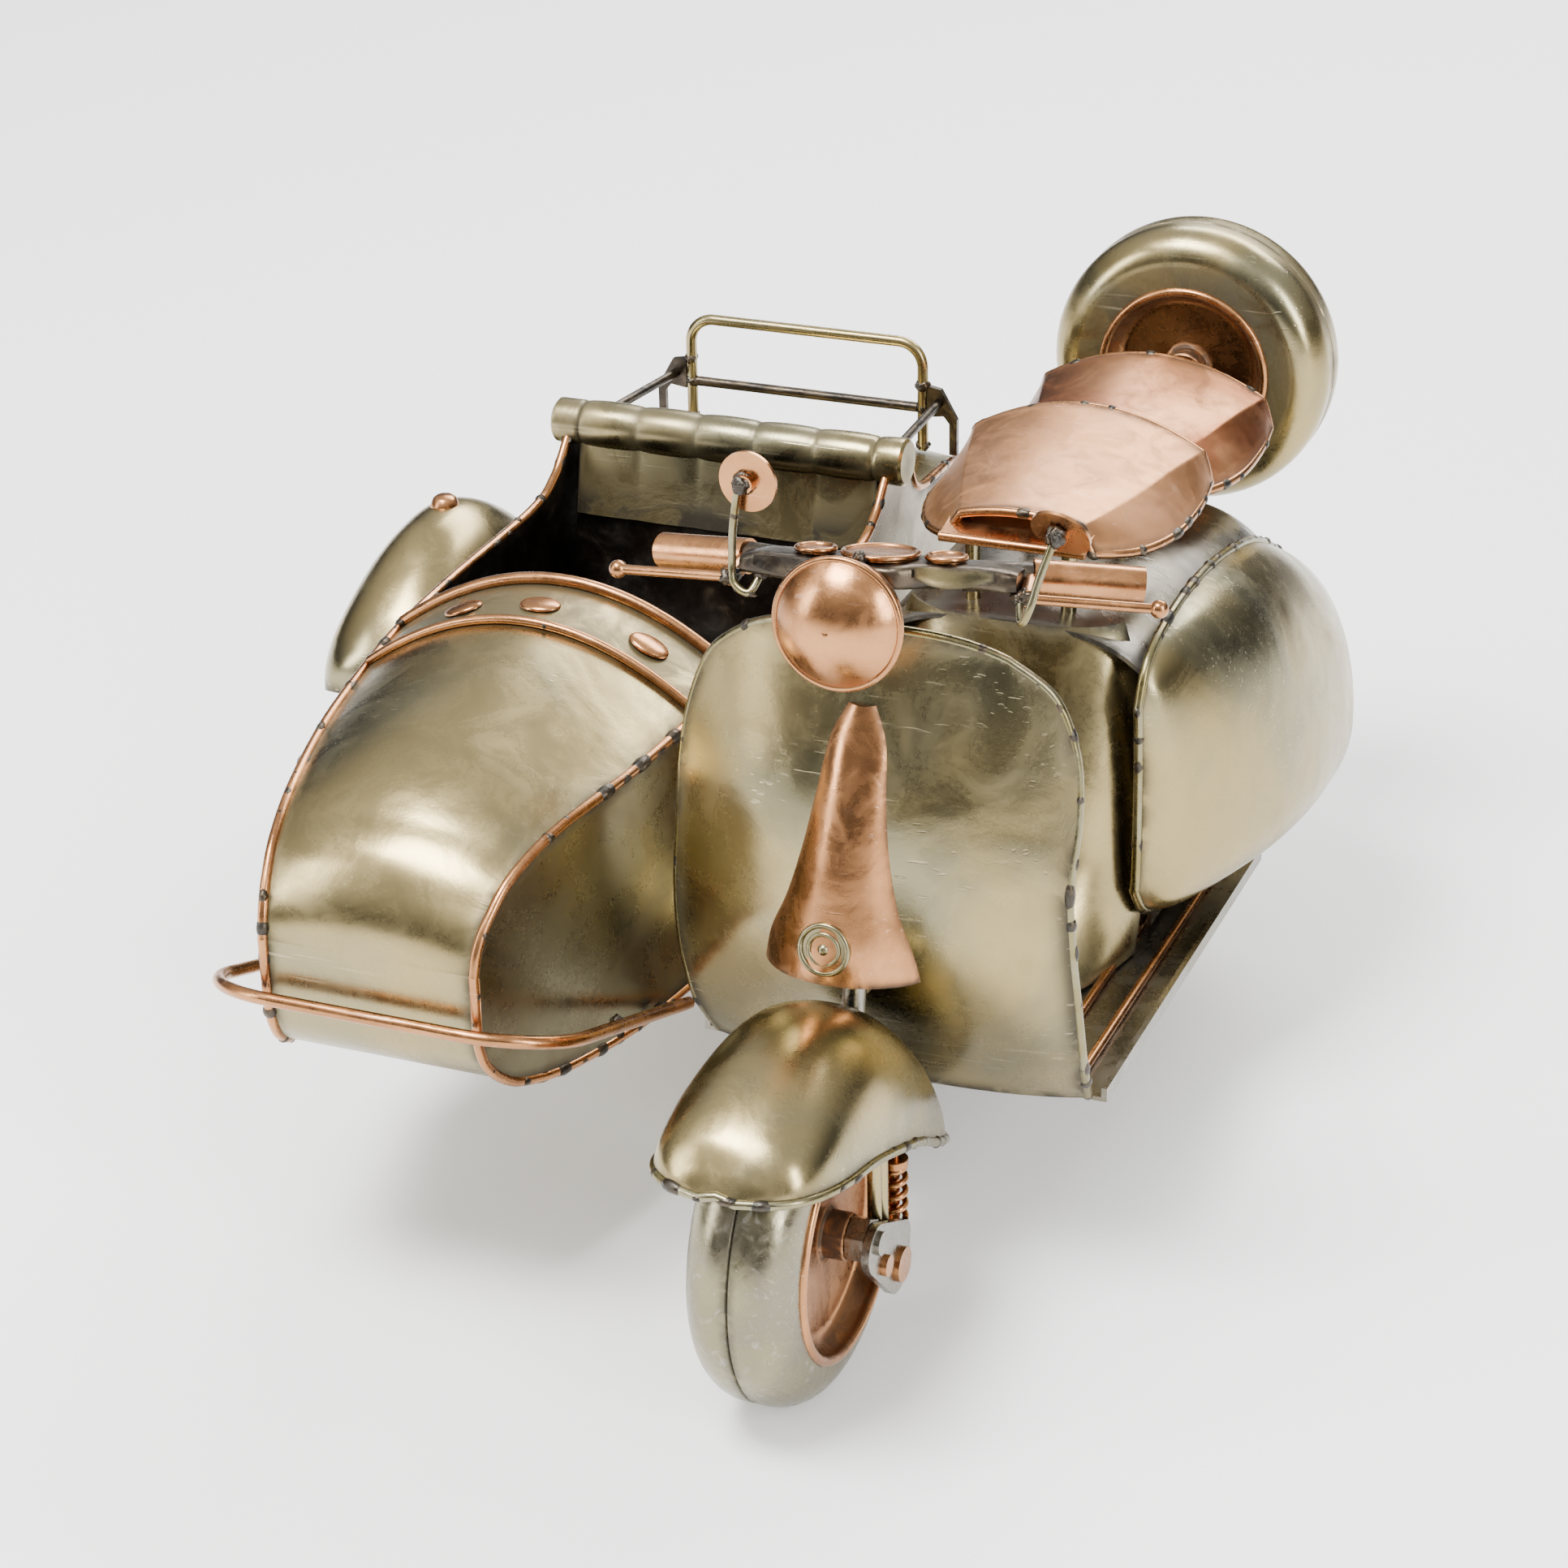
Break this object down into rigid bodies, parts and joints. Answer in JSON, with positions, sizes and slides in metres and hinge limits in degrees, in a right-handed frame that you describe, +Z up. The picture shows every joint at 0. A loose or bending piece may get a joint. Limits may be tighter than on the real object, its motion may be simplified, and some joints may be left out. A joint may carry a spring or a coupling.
{
  "type": "toy scooter with sidecar",
  "caption": "Small soldered sheet-metal display model of a motor scooter with a boat-shaped sidecar, steering front fork and free-rolling wheels.",
  "frame": {"origin": "on the ground under the middle of the whole model's bounding box", "axes": "+Y points to the tail along the line of travel, the front wheel is at -Y; +X points to the rider's left; +Z is up"},
  "size_m": [0.2101, 0.2582, 0.1478],
  "materials": {
    "aged_brass": "satin antique brass with a greenish brown patina",
    "copper_plate": "satin pinkish copper plating, worn at the edges",
    "nickel_sheet": "dull warm grey plated sheet",
    "dark_metal": "blackened metal with solder stains",
    "plain_steel": "plain plated steel hardware"
  },
  "bodies": {
    "chassis": {"leg_shield": "aged_brass", "leg_shield_trim": "aged_brass", "horn_cover": "copper_plate", "horn_badge": "aged_brass", "head_tube": "dark_metal", "floorboard": "nickel_sheet", "floor_runners": "copper_plate", "body_front": "aged_brass", "body_wrap": "nickel_sheet", "body_side_left": "nickel_sheet", "body_side_right": "nickel_sheet", "left_cowl": "aged_brass", "left_cowl_trim": "aged_brass", "front_seat": "copper_plate", "front_seat_trim": "copper_plate", "rear_seat": "copper_plate", "rear_seat_trim": "copper_plate", "seat_bracket": "copper_plate", "seat_posts": "aged_brass", "rear_frame": "dark_metal", "rear_axle": "plain_steel", "spare_tyre": "aged_brass", "spare_hub": "copper_plate", "spare_carrier": "dark_metal", "sidecar_sides": "nickel_sheet", "sidecar_wrap": "aged_brass", "sidecar_deck": "aged_brass", "sidecar_trim": "copper_plate", "dash_trim": "copper_plate", "dash_studs": "copper_plate", "sidecar_seat": "aged_brass", "luggage_hoop": "aged_brass", "luggage_frame": "dark_metal", "sidecar_bumper": "copper_plate", "sidecar_fender": "aged_brass", "sidecar_axle": "plain_steel"},
    "steering": {"steering_column": "plain_steel", "handlebar": "dark_metal", "gauges": "copper_plate", "headlamp_shell": "copper_plate", "headlamp_lens": "copper_plate", "headlamp_rim": "aged_brass", "grips": "copper_plate", "levers": "copper_plate", "mirror_stems": "aged_brass", "mirrors": "copper_plate", "front_fender": "aged_brass", "front_fender_trim": "aged_brass", "fork_tubes": "aged_brass", "fork_springs": "copper_plate", "fork_links": "plain_steel", "link_rivets": "copper_plate", "front_axle": "plain_steel", "axle_nuts": "plain_steel"},
    "front_wheel": {"front_tyre": "aged_brass", "front_hub": "copper_plate"},
    "rear_wheel": {"rear_tyre": "aged_brass", "rear_hub": "copper_plate"},
    "sidecar_wheel": {"sidecar_tyre": "aged_brass", "sidecar_hub": "copper_plate"}
  },
  "joints": [
    {"name": "steering_turn", "type": "hinge", "parent": "chassis", "child": "steering", "pos_m": [0.057, -0.06955, 0.058], "axis": [0, 0.2079, 0.9781], "range_deg": [-20, 20]},
    {"name": "front_wheel_spin", "type": "hinge", "parent": "steering", "child": "front_wheel", "pos_m": [0.057, -0.09705, 0.029], "axis": [1, 0, 0], "continuous": true},
    {"name": "rear_wheel_spin", "type": "hinge", "parent": "chassis", "child": "rear_wheel", "pos_m": [0.057, 0.07095, 0.029], "axis": [1, 0, 0], "continuous": true},
    {"name": "sidecar_wheel_spin", "type": "hinge", "parent": "chassis", "child": "sidecar_wheel", "pos_m": [-0.088, 0.07095, 0.029], "axis": [1, 0, 0], "continuous": true}
  ]
}
